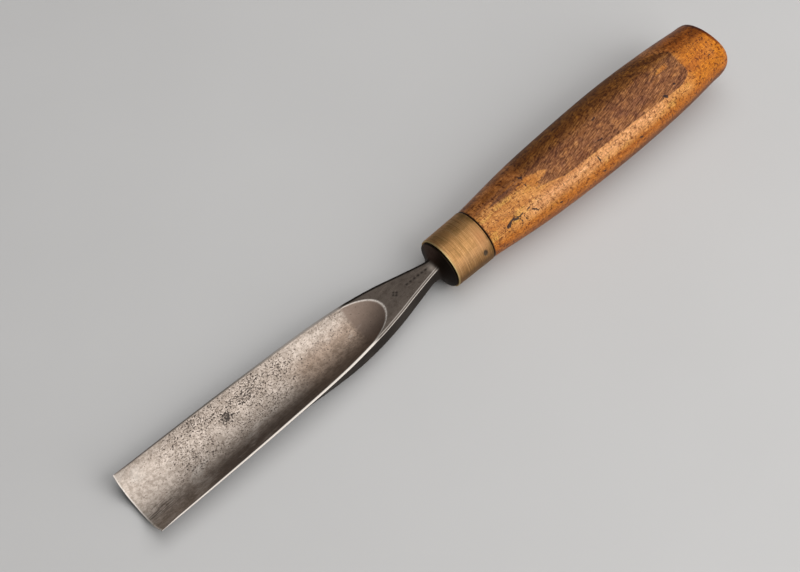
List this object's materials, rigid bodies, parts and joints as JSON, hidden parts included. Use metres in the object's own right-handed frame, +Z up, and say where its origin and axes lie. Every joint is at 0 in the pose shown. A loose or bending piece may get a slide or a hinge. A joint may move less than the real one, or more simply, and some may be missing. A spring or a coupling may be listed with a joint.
{
  "type": "carving gouge",
  "caption": "Straight wood-carving gouge: forged steel blade with a U-ended flute, bolster and hidden tang, brass ferrule, and a turned wooden handle with a planed flat.",
  "frame": {"origin": "middle of the footprint on the bench, with the tool lying hollow side up on its heel and its barrel", "axes": "+X along the tool from the cutting edge to the butt, +Y to the carver's left as it is held with the edge away, +Z up"},
  "size_m": [0.2918, 0.03, 0.0315],
  "materials": {
    "forged_steel": "aged and pitted, bright along its edges",
    "brass": "lathe-brushed and lightly tarnished",
    "hardwood": "oiled, darkened and worn smooth by handling"
  },
  "bodies": {
    "root": {"blade": "forged_steel", "ferrule": "brass", "handle": "hardwood"}
  },
  "joints": []
}
